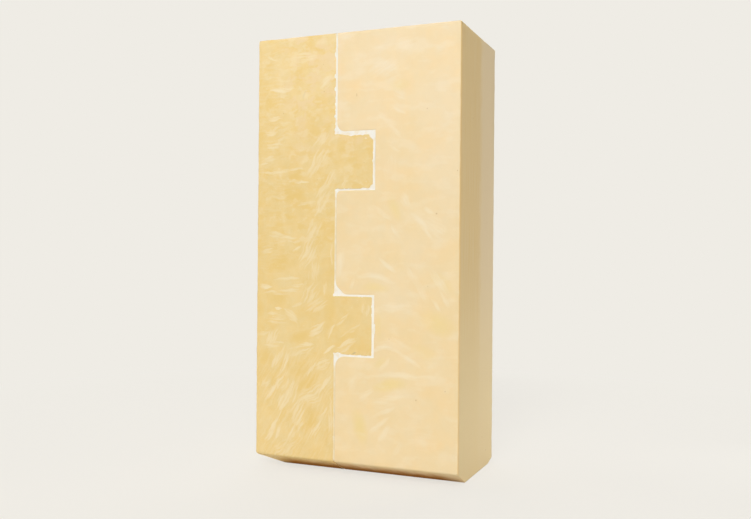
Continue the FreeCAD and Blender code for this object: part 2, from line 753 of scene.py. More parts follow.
@dataclass
class Block(BrickPiece, ABC):
    """What the two blocks have in common.

    Args:
        low: The lowest corner of the cuboid that the block starts as.
        high: Its highest corner.
        sharpest_bend: The angle in degrees past which two faces of the block are shaded as sharp.
    """

    low: Vector = field(default_factory=Vector)
    high: Vector = field(default_factory=Vector)
    sharpest_bend: float = 32.0

    @abstractmethod
    def shape(self, piece: Workpiece) -> None:
        """Shapes the block's side at the joint."""

    @abstractmethod
    def edge_share(self, edge: MeshEdge) -> float:
        """Share of the arris radius that an edge gets."""

    @abstractmethod
    def grid_up(self, piece: Workpiece) -> None:
        """Cuts the surface into a fine grid for the wear."""

    @abstractmethod
    def damage(self) -> Crumbling:
        """The crumbled edges and the chips."""

    @abstractmethod
    def pores(self) -> list[Hollow]:
        """The pores and pinholes."""

    def build(self, material: Material) -> Workpiece:
        """Makes the block, ready for the mortar.

        Args:
            material: The block's finish.

        Returns:
            The piece, still without its pores.
        """
        piece = Workpiece(f"{self.node}_dressed", self.low, self.high, material)
        self.shape(piece)
        piece.trim_foot(FORWARDS, BRICK.depth / 2, BRICK.front_bevel)
        piece.trim_foot(BACKWARDS, BRICK.depth / 2, BRICK.back_bevel)
        piece.trim_foot(LEFTWARDS, BRICK.width / 2, BRICK.left_bevel)
        piece.soften(self.edge_share, BRICK.arris, 3)
        self.grid_up(piece)
        self.weather(piece)
        piece.carve(self.damage().build())
        return piece

    def finish(self, piece: Workpiece) -> None:
        """Opens the pores and hands the block over. The mortar has to be fitted before.

        Args:
            piece: The block as build() made it.
        """
        piece.carve(pore_cutter(self.pores(), 3))
        piece.clean()
        piece.shade(self.sharpest_bend)
        self.hand_over(piece)


@dataclass
class TongueBlock(Block):
    """The left block, sawn from the yellow brick, with its two tongues."""

    node: str = "tongue_block"
    slot: str = "yellow_firebrick"
    low: Vector = field(default_factory=lambda: Vector((BRICK.left, BRICK.front, 0)))
    high: Vector = field(default_factory=lambda: Vector((JOINT.shoulder_x, BRICK.back, BRICK.height)))

    def shape(self, piece: Workpiece) -> None:
        """Pulls out the two tongues, slants them at the root and rounds their tips.

        Args:
            piece: The block.
        """
        near = 0.1
        bottom, top = JOINT.upper_tongue
        root_top = top + JOINT.upper_root_rise
        spans = (JOINT.lower_tongue, (bottom, root_top))
        for span in spans:
            piece.cut(Axis.Z, span)
        for span in spans:
            middle = sum(span) / 2
            piece.pull(
                lambda centre, normal: normal.x > 0.9 and abs(centre.z - middle) < 1,
                RIGHTWARDS * (JOINT.tip_x - JOINT.shoulder_x),
            )
        piece.cut(Axis.X, (JOINT.shoulder_x + JOINT.upper_root_length,))
        piece.slide(
            lambda place: place.x > JOINT.shoulder_x + 1 and abs(place.z - root_top) < near,
            UPWARDS * -JOINT.upper_root_rise,
        )
        root_z = JOINT.lower_tongue[0]
        piece.slide(
            lambda place: abs(place.x - JOINT.shoulder_x) < near and abs(place.z - root_z) < near,
            UPWARDS * JOINT.lower_root_lift,
        )
        for tongue, radius in (
            (JOINT.lower_tongue, JOINT.lower_tip_radius),
            (JOINT.upper_tongue, JOINT.upper_tip_radius),
        ):
            piece.round_edges(
                lambda a, b: min(a.x, b.x) > JOINT.tip_x - near
                and abs(a.z - b.z) < near
                and min(abs(a.z - z) for z in tongue) < near,
                radius,
                4,
            )

    def edge_share(self, edge: MeshEdge) -> float:
        """Share of the arris radius: whole on the outside, and none at the joint."""
        return 1.0 if not is_flat(edge) and all(is_outer_face(face) for face in edge.link_faces) else 0.0

    def grid_up(self, piece: Workpiece) -> None:
        """Cuts the surface into a fine grid for the wear.

        Args:
            piece: The block.
        """
        inset = BRICK.arris
        piece.cut(Axis.X, evenly((BRICK.left + inset, JOINT.shoulder_x, JOINT.tip_x - 2), self.step))
        piece.cut(Axis.Y, evenly((BRICK.front + inset, BRICK.back - inset), self.step))
        foot, top = BRICK.front_bevel[1] + inset, BRICK.height - inset
        piece.cut(Axis.Z, evenly((foot, *JOINT.lower_tongue, *JOINT.upper_tongue, top), self.step))

    def damage(self) -> Crumbling:
        """The crumbled edges along the joint, worst in its top stretch and round the upper tongue.

        Returns:
            The damage.
        """
        shoulder, tip = JOINT.shoulder_x, JOINT.tip_x
        bottom, top = JOINT.upper_tongue
        lower_bottom, lower_top = JOINT.lower_tongue
        front, back = BRICK.front, BRICK.back
        outline = (
            (shoulder, BRICK.height, 0.42),
            (shoulder, 208.0, 0.60),
            (shoulder, top + JOINT.upper_root_rise, 0.30),
            (shoulder + JOINT.upper_root_length, top, 0.34),
            (tip - 1.2, top, 0.0),
            (tip, top - 1.2, 0.28),
            (tip, bottom + 1.2, 0.0),
            (tip - 1.2, bottom, 0.18),
            (shoulder, bottom, 0.0),
            (shoulder, lower_top, 0.06),
            (tip, lower_top, 0.08),
            (tip, lower_bottom, 0.10),
            (shoulder, lower_bottom + JOINT.lower_root_lift, 0.0),
            (shoulder, 0.0, 0.0),
        )
        runs = joint_runs(outline, 1.0)
        for z, face in ((BRICK.height, UPWARDS), (0.0, -UPWARDS)):
            start = Vector((shoulder, front, z))
            end = Vector((shoulder, back, z))
            runs.append(EdgeRun(start, end, RIGHTWARDS, face, 0.35))
        top_end = Vector((shoulder, front, BRICK.height))
        runs.append(EdgeRun(top_end + LEFTWARDS * 20, top_end, UPWARDS, FORWARDS, 0.3, 0.5))
        chips = (
            Hollow((tip + 0.5, front, top + 0.3), (2.6, 0.9, 2.9)),
            Hollow((tip + 0.5, front, bottom + 0.2), (2.0, 0.7, 2.2)),
            Hollow((shoulder + 0.1, front, 201.2), (1.3, 0.5, 0.8)),
            Hollow((shoulder + 0.2, front, 219.0), (0.9, 0.4, 1.6)),
            Hollow((shoulder - 7.5, front, BRICK.height + 0.2), (2.2, 0.9, 0.8)),
            Hollow((shoulder + 0.2, front, 18.0), (0.9, 0.5, 3.5)),
            Hollow((shoulder, back, 120.0), (1.1, 0.6, 2.4)),
            Hollow((tip, back, bottom), (1.6, 0.7, 1.8)),
        )
        return Crumbling(runs, chips)

    def pores(self) -> list[Hollow]:
        """The pores and pinholes of the block.

        Returns:
            The pores.
        """
        named = front_pores(
            (-17.5, 199.8, 0.35, 0.32),
            (-41.5, 189.8, 0.30, 0.36),
            (-18.0, 214.0, 0.26, 0.24),
            (-21.0, 153.7, 0.28, 0.26),
            (5.6, 161.8, 0.26, 0.24),
        )
        return named + scattered_pores(self.low, self.high, 11)


@dataclass
class SocketBlock(Block):
    """The right block, pressed from the buff brick, with the two sockets for the tongues.

    Args:
        mouth_ease: Share of the arris radius that the socket mouths get.
        mouth_room: How far from a socket's corner its rounded mouth may reach.
    """

    node: str = "socket_block"
    slot: str = "buff_firebrick"
    mouth_ease: float = 0.3
    mouth_room: float = 6.2
    low: Vector = field(default_factory=lambda: Vector((JOINT.socket_back_x, BRICK.front, 0)))
    high: Vector = field(default_factory=lambda: Vector((BRICK.right, BRICK.back, BRICK.height)))

    def shape(self, piece: Workpiece) -> None:
        """Pulls out the three lands beside the sockets, then rounds or chamfers the socket mouths.

        Args:
            piece: The block.
        """
        levels = JOINT.lower_socket + JOINT.upper_socket
        piece.cut(Axis.Z, levels)
        bounds = (0.0, *levels, BRICK.height)
        for land in zip(bounds[::2], bounds[1::2]):
            middle = sum(land) / 2
            piece.pull(
                lambda centre, normal: normal.x < -0.9 and abs(centre.z - middle) < 1,
                LEFTWARDS * (JOINT.socket_back_x - JOINT.mouth_x),
            )
        for level, radius in JOINT.round_mouths:
            self.work_mouth(piece, JOINT.mouth_x, level, radius, 8)
        level, setback = JOINT.chamfered_mouth
        self.work_mouth(piece, JOINT.mouth_x, level, setback, 1)
        self.work_mouth(piece, JOINT.mouth_x, level + setback, JOINT.chamfer_ease, 3)
        self.work_mouth(piece, JOINT.mouth_x + setback, level, JOINT.chamfer_ease, 3)

    @staticmethod
    def work_mouth(piece: Workpiece, x: float, z: float, radius: float, segments: int) -> None:
        """Rounds or chamfers the edge that runs through the depth of the block at (x, z).

        Args:
            piece: The block.
            x: X of the edge.
            z: Z of the edge.
            radius: The radius of the rounding.
            segments: Faces across it.
        """
        near = 0.05
        piece.round_edges(
            lambda a, b: max(abs(a.x - x), abs(b.x - x), abs(a.z - z), abs(b.z - z)) < near,
            radius,
            segments,
        )

    def edge_share(self, edge: MeshEdge) -> float:
        """Share of the arris radius: whole on the outside, and slight at the socket mouths.

        Args:
            edge: The edge.

        Returns:
            The share.
        """
        outer = [is_outer_face(face) for face in edge.link_faces]
        if is_flat(edge) or not any(outer):
            return 0.0
        return 1.0 if all(outer) else self.mouth_ease

    def grid_up(self, piece: Workpiece) -> None:
        """Cuts the surface into a fine grid for the wear.

        Args:
            piece: The block.
        """
        inset = BRICK.arris
        room = self.mouth_room
        widths = (JOINT.mouth_x + room, JOINT.socket_back_x, BRICK.right - inset)
        piece.cut(Axis.X, evenly(widths, self.step))
        piece.cut(Axis.Y, evenly((BRICK.front + inset, BRICK.back - inset), self.step))
        levels = [BRICK.front_bevel[1] + inset]
        for bottom, top in (JOINT.lower_socket, JOINT.upper_socket):
            levels += [bottom - room, bottom, top, top + room]
        levels.append(BRICK.height - inset)
        piece.cut(Axis.Z, evenly(levels, self.step))

    def damage(self) -> Crumbling:
        """The chips in the backs of the sockets, deepest at their upper end.

        Returns:
            The damage.
        """
        x = JOINT.socket_back_x
        runs = []
        spalls = ((FORWARDS, BRICK.front, 69.0, 79.0), (BACKWARDS, BRICK.back, 154.0, 163.0))
        for face, y, low, high in spalls:
            runs.append(EdgeRun(Vector((x, y, low)), Vector((x, y, high)), LEFTWARDS, face, 0.40, 1.15))
        return Crumbling(runs, (), roughness=((2.6, 0.3), (1.0, 0.2)))

    def pores(self) -> list[Hollow]:
        """The pores and pinholes of the block.

        Returns:
            The pores.
        """
        named = front_pores(
            (1.2, 196.8, 0.26, 0.80),
            (39.6, 187.6, 0.30, 0.30),
            (44.9, 135.2, 0.42, 0.42),
            (55.6, 156.2, 0.28, 0.34),
            (34.9, 42.1, 0.34, 0.38),
            (50.1, 47.5, 0.28, 0.32),
            (20.2, 72.0, 0.20, 0.30),
            (40.6, 99.2, 0.22, 0.22),
        )
        low = Vector((JOINT.mouth_x, BRICK.front, 0))
        return named + scattered_pores(low, self.high, 5)


@dataclass
class MortarJoint(BrickPiece):
    """The mortar bed between the blocks, which fills whatever the blocks leave free.

    Args:
        recess: How far it is set back from the outside of the brick.
        left_spare: How far its rough shape reaches past the shoulders, into the left block.
        right_spare: How far it reaches past the sockets, into the right block.
        foot_lifts: How far above the bevels of the blocks its own front and back bevels are cut.
        sharpest_bend: The angle in degrees past which two of its faces are shaded as sharp.
    """

    node: str = "mortar_joint"
    slot: str = "refractory_mortar"
    grid: float = 0.8
    recess: float = 0.19
    left_spare: float = 5.0
    right_spare: float = 2.5
    foot_lifts: tuple[float, float] = (0.55, 0.4)
    sharpest_bend: float = 50.0

    def build(self, material: Material, blocks: Sequence[Workpiece]) -> None:
        """Makes the bed and hands it over.

        Args:
            material: The mortar.
            blocks: The two blocks, still without their pores.
        """
        low_x, high_x = JOINT.shoulder_x - self.left_spare, JOINT.socket_back_x + self.right_spare
        low = Vector((low_x, BRICK.front + self.recess, self.recess))
        high = Vector((high_x, BRICK.back - self.recess, BRICK.height - self.recess))
        piece = Workpiece(f"{self.node}_dressed", low, high, material)
        front_lift, back_lift = self.foot_lifts
        piece.trim_foot(FORWARDS, BRICK.depth / 2, BRICK.front_bevel, front_lift)
        piece.trim_foot(BACKWARDS, BRICK.depth / 2, BRICK.back_bevel, back_lift)
        piece.soften(self.edge_share, BRICK.arris, 2)
        piece.cut(Axis.X, evenly((low_x, high_x), self.step))
        piece.cut(Axis.Y, evenly((BRICK.front + 2, BRICK.back - 2), self.step * 4))
        piece.cut(Axis.Z, evenly((BRICK.front_bevel[1] + 1.5, BRICK.height - 1.5), self.step))
        roughen(piece.obj, cloud_texture("Trowelling", 2.6, 1.4), 0.10, 1.0)
        for block in blocks:
            piece.carve(block.obj, keep_cutter=True)
        piece.clean()
        piece.shade(self.sharpest_bend)
        self.hand_over(piece)

    @staticmethod
    def edge_share(edge: MeshEdge) -> float:
        """Share of the arris radius, for the edges that run across the joint."""
        across = abs((edge.verts[0].co - edge.verts[1].co).normalized().x)
        return 1.0 if across > 0.9 else 0.0


# Shader maths


class Value:
    """A socket that carries a number. Python's operators add Math nodes."""

    def __init__(self, graph: "Graph", socket: Socket) -> None:
        """Wraps a socket of a graph."""
        self.graph = graph
        self.socket = socket

    def math(self, operation: str, *inputs: "Value | float") -> "Value":
        """The result of a Math node with these inputs."""
        return self.graph.value("ShaderNodeMath", {"operation": operation}, inputs)

    def __add__(self, other: "Value | float") -> "Value":
        """self + other"""
        return self.math("ADD", self, other)

    __radd__ = __add__

    def __sub__(self, other: "Value | float") -> "Value":
        """self - other"""
        return self.math("SUBTRACT", self, other)

    def __rsub__(self, other: "Value | float") -> "Value":
        """other - self"""
        return self.math("SUBTRACT", other, self)

    def __mul__(self, other: "Value | float") -> "Value":
        """self * other"""
        return self.math("MULTIPLY", self, other)

    __rmul__ = __mul__

    def __neg__(self) -> "Value":
        """-self"""
        return self.math("MULTIPLY", self, -1.0)

    def max(self, other: "Value | float") -> "Value":
        """The larger of two values."""
        return self.math("MAXIMUM", self, other)

    def min(self, other: "Value | float") -> "Value":
        """The smaller of two values."""
        return self.math("MINIMUM", self, other)

    def smooth(self, low: float, high: float) -> "Value":
        """0 at low, 1 at high and a soft step between them. low may be the larger."""
        ends = (low, high, 0.0, 1.0) if low < high else (high, low, 1.0, 0.0)
        return self.graph.value("ShaderNodeMapRange", {"interpolation_type": "SMOOTHSTEP"}, (self, *ends))


def highest(values: Iterable[Value]) -> Value:
    """The largest of several values."""
    return reduce(Value.max, values)


Input = "Value | Socket | float | Sequence[float]"
Colour = tuple[float, ...]


class Graph:
    """The nodes of a material or of the world."""

    def __init__(self, owner: Material | bpy.types.World) -> None:
        """Gives the owner an empty node tree.

        Args:
            owner: The material or the world.
        """
        owner.use_nodes = True
        self.owner = owner
        self.tree = owner.node_tree
        self.tree.nodes.clear()

    def node(
        self,
        kind: str,
        settings: dict[str, object] | None = None,
        inputs: "Sequence[Input] | dict[str | int, Input]" = (),
    ) -> bpy.types.Node:
        """Adds a node.

        Args:
            kind: The node's type.
            settings: Its settings, which are set first. A ramp's stops are (place, colour) pairs.
            inputs: Values or links for its sockets, in order or by name or number.

        Returns:
            The node.
        """
        made = self.tree.nodes.new(kind)
        for key, value in (settings or {}).items():
            if key == "stops":
                self.set_stops(made.color_ramp, value)
            else:
                setattr(made, key, value)
        pairs = inputs.items() if isinstance(inputs, dict) else enumerate(inputs)
        for key, value in pairs:
            if isinstance(value, Value):
                value = value.socket
            if isinstance(value, Socket):
                self.tree.links.new(value, made.inputs[key])
            else:
                made.inputs[key].default_value = value
        return made

    @staticmethod
    def set_stops(ramp: bpy.types.ColorRamp, stops: Sequence[tuple[float, Colour]]) -> None:
        """Gives a ramp its stops.

        Args:
            ramp: The ramp.
            stops: The place and the colour of each.
        """
        while len(ramp.elements) < len(stops):
            ramp.elements.new(0.5)
        for element, (place, colour) in zip(ramp.elements, stops):
            element.position = place
            element.color = colour

    def socket(self, *args: object, output: int | str = 0, **kwargs: object) -> Socket:
        """Adds a node and gives one of its outputs."""
        return self.node(*args, **kwargs).outputs[output]

    def value(self, *args: object, output: int | str = 0, **kwargs: object) -> Value:
        """Adds a node and gives one of its outputs, which carries a number."""
        return Value(self, self.socket(*args, output=output, **kwargs))

    def vector(self, operation: str, *inputs: Input) -> Socket:
        """The vector that a Vector Math node makes of these inputs."""
        return self.socket("ShaderNodeVectorMath", {"operation": operation}, inputs)

    def measure(self, operation: str, *inputs: Input) -> Value:
        """The number that a Vector Math node makes of these inputs."""
        return self.value("ShaderNodeVectorMath", {"operation": operation}, inputs, output="Value")

    def object_place(self) -> Socket:
        """Object coordinates in millimetres."""
        place = self.socket("ShaderNodeTexCoord", output="Object")
        return self.socket("ShaderNodeVectorMath", {"operation": "SCALE"}, {"Vector": place, "Scale": 1 / MM})

    def facing(self) -> list[Value]:
        """The way that the surface faces, as its X, Y and Z."""
        return self.split(self.socket("ShaderNodeTexCoord", output="Normal"))

    def split(self, vector: Socket) -> list[Value]:
        """The three parts of a vector."""
        made = self.node("ShaderNodeSeparateXYZ", None, (vector,))
        return [Value(self, part) for part in made.outputs]

    def join(self, x: "Value | float", y: "Value | float", z: "Value | float") -> Socket:
        """A vector of three parts."""
        return self.socket("ShaderNodeCombineXYZ", None, (x, y, z))

    def local(self, place: Socket, size: Sequence[float], shift: Sequence[float] = (0, 0, 0)) -> Socket:
        """A place in a frame that stands at shift and has these sizes for its units."""
        frame = {"Vector": place, "Location": shift, "Scale": size}
        return self.socket("ShaderNodeMapping", {"vector_type": "TEXTURE"}, frame)

    def noise(
        self,
        place: Socket,
        size: float | Sequence[float],
        detail: float = 2.0,
        roughness: float = 0.5,
        shift: Sequence[float] = (0, 0, 0),
    ) -> Value:
        """Soft noise, about 0.5 on average.

        Args:
            place: The place on the surface.
            size: The size of its features, the same all ways or for X, Y and Z.
            detail: How many finer layers it has.
            roughness: How strong they are.
            shift: How far the whole pattern is moved, so that two alike differ.

        Returns:
            The noise.
        """
        sizes = [size] * 3 if isinstance(size, (int, float)) else size
        inputs = {"Vector": self.local(place, sizes, shift), "Scale": 1.0}
        inputs |= {"Detail": detail, "Roughness": roughness}
        return self.value("ShaderNodeTexNoise", None, inputs)

    def shaken(self, place: Socket, size: float, amount: float) -> Socket:
        """A place whose X and Z waver.

        Args:
            place: The place.
            size: Over what distance it wavers.
            amount: About how far.

        Returns:
            The shaken place.
        """
        inputs = {"Vector": self.local(place, [size] * 3), "Scale": 1.0, "Detail": 2.0}
        shake = self.socket("ShaderNodeTexNoise", None, inputs, output="Color")
        back = self.vector("ADD", place, (-amount, 0, -amount))
        return self.vector("MULTIPLY_ADD", shake, (amount * 2, 0, amount * 2), back)

    def mix(self, factor: "Value | float", first: "Input", second: "Input") -> Socket:
        """A colour between two colours."""
        inputs = {0: factor, 6: first, 7: second}
        return self.socket("ShaderNodeMix", {"data_type": "RGBA", "clamp_factor": True}, inputs, output=2)

    def mix_shaders(self, factor: "Value | float", first: Socket, second: Socket) -> Socket:
        """A shader between two shaders."""
        return self.socket("ShaderNodeMixShader", None, (factor, first, second))

    def surface(self, shader: Socket) -> Material:
        """Ends the tree with a shader and gives its material."""
        self.node("ShaderNodeOutputMaterial", None, {"Surface": shader})
        return self.owner

    def looked_at(self) -> Value:
        """1 for a ray that the camera sends, straight or by a mirror or glass."""
        path = self.node("ShaderNodeLightPath").outputs
        names = ("Is Camera Ray", "Is Glossy Ray", "Is Transmission Ray")
        return highest(Value(self, path[name]) for name in names)


def srgb(red: float, green: float, blue: float) -> Colour:
    """A colour in the linear values that Blender takes.

    Args:
        red: Its red as it shows on screen, from 0 to 255.
        green: Its green.
        blue: Its blue.

    Returns:
        Red, green, blue and an alpha of 1.
    """
    parts = [c / 255 for c in (red, green, blue)]
    linear = [c / 12.92 if c <= 0.04045 else ((c + 0.055) / 1.055) ** 2.4 for c in parts]
    return (*linear, 1.0)


# Finishes


@dataclass(frozen=True)
class Smear:
    """A mark on a large face, where slip or another tone of the brick lies on it.

    Args:
        x: X of its middle.
        z: Z of its middle.
        angle: Its direction in degrees, anticlockwise from the right as the front is seen.
        reach: Half its length.
        breadth: Half its width.
        amount: How much it shows, from 0 to 1.
        sag: How far its ends bend down.
    """

    x: float
    z: float
    angle: float
    reach: float
    breadth: float
    amount: float
    sag: float = 0.0


def smear_rows(*rows: tuple[float, ...]) -> tuple[Smear, ...]:
    """Smears, each given by its values in order."""
    return tuple(Smear(*row) for row in rows)


class Edge(Enum):
    """How a smear ends. The value is how steeply it fades."""

    SOFT = 1.0
    CRISP = 1.35


class LargeFaces:
    """The two large faces as their marks see them. The back is the front turned upside down.

    The class values are the distances from a face over which its marks set in, how far the noise on the
    back is moved from that on the front, the length of the streaks in wiped marks, and how strong these
    are on average.
    """

    onset = (1.4, 0.5)
    back_shift = 40.0
    streak_length = 10.0
    streak_middle = 0.54

    def __init__(self, graph: Graph, place: Socket, shake: float, tremble: float) -> None:
        """Finds the faces and shakes their places, so that marks get uneven outlines.

        Args:
            graph: The material's nodes.
            place: Object coordinates in millimetres.
            shake: How far the marks waver over some 10 mm.
            tremble: How far they waver over some 2 mm.
        """
        self.graph = graph
        self.x, self.y, height = graph.split(place)
        start, full = self.onset
        front = self.y.smooth(BRICK.front + start, BRICK.front + full)
        back = self.y.smooth(BRICK.back - start, BRICK.back - full)
        self.cover = front.max(back)
        self.z = height + back * (BRICK.height - 2.0 * height)
        flat_place = graph.join(self.x, back * self.back_shift, self.z)
        self.place = graph.shaken(graph.shaken(flat_place, 10.0, shake), 2.0, tremble)

    def along(self, x: float, z: float, angle: float, unit: float) -> Value:
        """Distance from a point along a direction.

        Args:
            x: X of the point.
            z: Z of the point.
            angle: The direction in degrees.
            unit: What it is measured in, in millimetres.

        Returns:
            The distance, below 0 on the other side of the point.
        """
        turn = math.radians(angle)
        way = (math.cos(turn) / unit, 0.0, math.sin(turn) / unit)
        return self.graph.measure("DOT_PRODUCT", self.place, way) - (x * way[0] + z * way[2])

    def mark(self, smear: Smear, edge: Edge) -> Value:
        """How much one smear covers.

        Args:
            smear: The smear.
            edge: How it ends.

        Returns:
            The cover. It is below 0 where there is none.
        """
        along = self.along(smear.x, smear.z, smear.angle, smear.reach)
        across = self.along(smear.x, smear.z, smear.angle + 90, smear.breadth)
        squared = along * along
        if smear.sag:
            across = across + squared * (smear.sag / smear.breadth)
        steep = edge.value * smear.amount
        return (steep - (squared + across * across) * steep).min(smear.amount)

    def patches(self, smears: Sequence[Smear]) -> Value:
        """How much soft patches cover, from 0 to 1."""
        return highest(self.mark(smear, Edge.SOFT) for smear in smears).max(0.0) * self.cover

    def wiped(self, smears: Sequence[Smear], edge: Edge, width: float, feather: float) -> Value:
        """How much wiped smears cover. Streaks along each smear feather its ends.

        Args:
            smears: The smears.
            edge: How they end.
            width: The width of their streaks.
            feather: How strong the streaks are.

        Returns:
            The cover, from 0 to about 1.
        """
        groups: dict[int, list[Smear]] = {}
        for smear in smears:
            groups.setdefault(round(smear.angle / 30) * 30, []).append(smear)
        covers = (
            highest(self.mark(smear, edge) for smear in group)
            + (self.streaks(angle, width) - self.streak_middle) * feather
            for angle, group in groups.items()
        )
        return highest(covers).max(0.0) * self.cover

    def streaks(self, angle: float, width: float) -> Value:
        """Streaks that run in one direction.

        Args:
            angle: The direction in degrees.
            width: Their width.

        Returns:
            The streaks, from 0 to 1.
        """
        along = self.along(0, 0, angle, self.streak_length)
        across = self.along(0, 0, angle + 90, width)
        return self.graph.noise(self.graph.join(along, 0.0, across), 1.0).smooth(0.36, 0.64)


class Coat:
    """The surface of a piece while it is painted. Its colour is built up in layers.

    The class values are the colour of the painted brown shade on the bevel under the front, darkest by the
    floor as if warm bounce light browned it, the heights over which it sets in, and the mark in the middle of
    a pore's painted shade with its fall from there to the pore's rim.
    """

    # Painted shade: the brown of the bevel under the front, darkest by the floor.
    foot_shade_colour = srgb(178, 114, 8)
    foot_shade_heights = (7.0, 1.4)
    pore_middle = 2.6
    pore_fall = 2.0

    def __init__(self, name: str, shake: float, tremble: float) -> None:
        """Starts the material.

        Args:
            name: Its name.
            shake: How far the marks on the large faces waver over some 10 mm.
            tremble: How far they waver over some 2 mm.
        """
        self.graph = Graph(bpy.data.materials.new(name))
        self.place = self.graph.object_place()
        self.large = LargeFaces(self.graph, self.place, shake, tremble)
        self.colour: Socket | Colour = srgb(255, 255, 255)

    def noise(self, *args: object, **kwargs: object) -> Value:
        """Soft noise all over the surface, with the size and so on that Graph.noise takes."""
        return self.graph.noise(self.place, *args, **kwargs)

    def ground(self, tone: Value, *stops: tuple[float, Colour]) -> None:
        """Starts with the brick's own colours, by a ramp."""
        self.colour = self.graph.socket("ShaderNodeValToRGB", {"stops": stops}, (tone,))

    def lay(self, amount: "Value | float", colour: "Input") -> None:
        """Lays a colour over what is there, as strongly as amount says."""
        self.colour = self.graph.mix(amount, self.colour, colour)

    def tint(self, amount: Value, gain: Sequence[float]) -> None:
        """Multiplies red, green and blue by gain where amount is 1."""
        factor = self.graph.mix(amount, (1, 1, 1, 1), (*gain, 1))
        self.colour = self.graph.vector("MULTIPLY", self.colour, factor)

    def cast(self, size: float, gain: Sequence[float]) -> None:
        """Gives the colour a slight cast in soft blotches of this size."""
        self.tint(self.noise(size, 3.0, 0.6, (0, 80, 0)).smooth(0.3, 0.7), gain)

    def paint_pore_shade(self, pores: Sequence[Hollow], amount: float, shade: Colour) -> None:
        """Paints shade into the pores and a little round them, as strongly as amount says."""
        cover = highest(self.pore_mark(pore) for pore in pores)
        self.lay(cover.max(0.0).min(1.0) * amount, shade)

    def pore_mark(self, pore: Hollow) -> Value:
        """Above 1 inside a pore, 0 a little outside it, and below 0 further out.

        Args:
            pore: The pore.

        Returns:
            The mark.
        """
        shrink = [1 / reach for reach in pore.reach]
        shift = [-at / reach for at, reach in zip(pore.place, pore.reach)]
        local = self.graph.vector("MULTIPLY_ADD", self.place, shrink, shift)
        return self.pore_middle - self.graph.measure("LENGTH", local) * self.pore_fall

    def paint_foot_shade(self) -> None:
        """Paints brown shade on the bevel under the front, darkest by the floor, fading towards both ends."""
        x, y, z = self.graph.split(self.place)
        down = -self.graph.facing()[2]
        low = (z + (self.noise(5) - 0.5) * 3.0).smooth(*self.foot_shade_heights)
        along = x.smooth(-50, -38) * (1.0 - 0.75 * x.smooth(44, 56))
        under = y.smooth(-11, -16)
        # Painted shade on the bevel under the front, brown as if warm bounce light lit it, darkest by the
        # floor.
        self.lay(down.smooth(0.35, 0.75) * low * along * under, self.foot_shade_colour)

    def finish(
        self, roughness: Value, sheen: float, height: Value, strength: float, depth: float
    ) -> Material:
        """Ends the material as a matt surface.

        Args:
            roughness: How rough it is.
            sheen: How strongly it reflects.
            height: The height of its fine relief.
            strength: How much of the relief shows.
            depth: What the whole range of the height stands for.

        Returns:
            The material.
        """
        relief = {"Strength": strength, "Distance": depth * MM, "Height": height}
        normal = self.graph.socket("ShaderNodeBump", None, relief)
        inputs = {"Base Color": self.colour, "Roughness": roughness, "Normal": normal}
        inputs["Specular IOR Level"] = sheen
        return self.graph.surface(self.graph.socket("ShaderNodeBsdfPrincipled", None, inputs))


